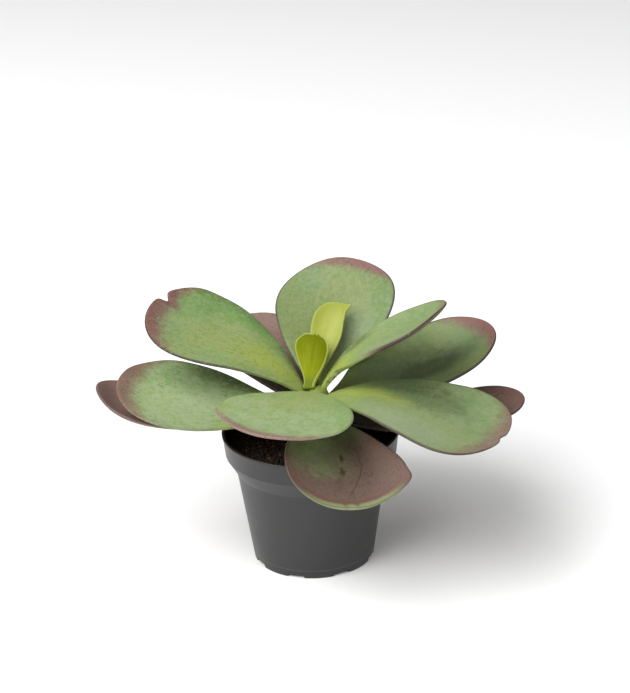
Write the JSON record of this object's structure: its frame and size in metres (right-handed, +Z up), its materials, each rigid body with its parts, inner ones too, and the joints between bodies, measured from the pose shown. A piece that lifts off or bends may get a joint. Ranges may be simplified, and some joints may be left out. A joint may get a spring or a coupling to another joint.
{
  "type": "potted agave",
  "caption": "Rosette of broad, blunt succulent leaves on a short stem, rooted in soil in a round tapered nursery pot that stands on its foot.",
  "frame": {"origin": "middle of the pot's foot, on the surface it stands on, which is also the middle of the whole plant's bounding box to within a millimetre or so", "axes": "+Z up along the pot's axis and the stem, +X to the right and -Y to the front as the plant is usually seen"},
  "size_m": [0.2877, 0.2274, 0.183],
  "materials": {
    "pot_plastic": "satin dark grey moulded plastic",
    "soil": "rough dark potting soil",
    "stem_skin": "matte fleshy stem",
    "leaf_green": "matte bloomed leaf skin, sage green with a mauve tip",
    "leaf_mauve": "matte leaf skin, brown-mauve",
    "leaf_young": "matte young leaf skin, yellow-green"
  },
  "bodies": {
    "root": {"pot": "pot_plastic", "soil": "soil", "stem": "stem_skin", "leaf_back": "leaf_green", "leaf_upper_left": "leaf_green", "leaf_upper_right": "leaf_green", "leaf_left": "leaf_green", "leaf_right_back": "leaf_green", "leaf_front": "leaf_green", "leaf_right_front": "leaf_green", "leaf_front_low": "leaf_green", "leaf_far_left": "leaf_mauve", "leaf_far_right": "leaf_mauve", "leaf_back_left": "leaf_mauve", "leaf_young_front": "leaf_young", "leaf_young_back": "leaf_young"}
  },
  "joints": []
}
